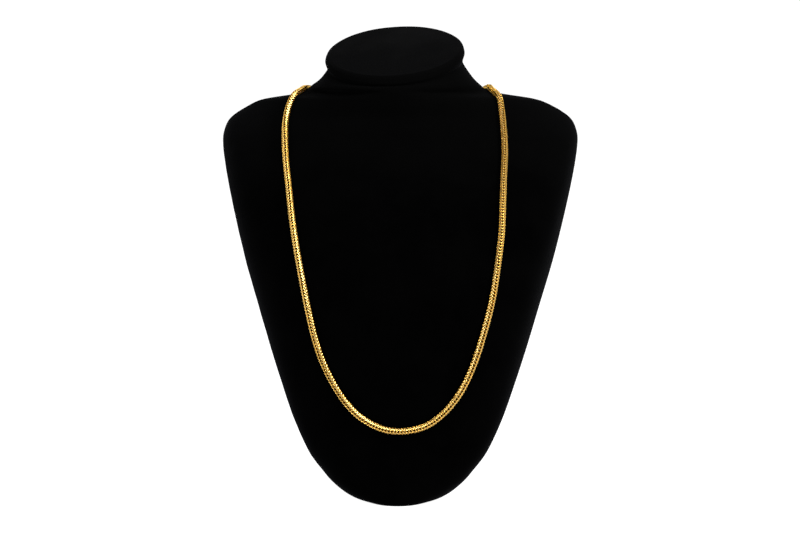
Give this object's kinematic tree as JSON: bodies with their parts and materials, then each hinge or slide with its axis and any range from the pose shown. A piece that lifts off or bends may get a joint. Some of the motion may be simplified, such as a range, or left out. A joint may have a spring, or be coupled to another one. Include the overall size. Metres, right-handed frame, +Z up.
{
  "type": "franco chain on neck bust",
  "caption": "Square woven franco chain with end caps and a clasp behind the neck, hung round a velvet neck bust with a flat back board and an easel leg.",
  "frame": {"origin": "middle of the bust's flat foot, on the table", "axes": "+Z up, +X to the right as seen from the front, the front faces -Y"},
  "size_m": [0.225, 0.1379, 0.2855],
  "materials": {
    "velvet": "short black velvet pile",
    "board": "black felt-faced board",
    "gold": "polished yellow gold"
  },
  "bodies": {
    "root": {"bust_form": "velvet", "back_board": "board", "easel_leg": "board", "chain": "gold", "end_cap_left": "gold", "end_cap_right": "gold", "clasp": "gold"}
  },
  "joints": []
}
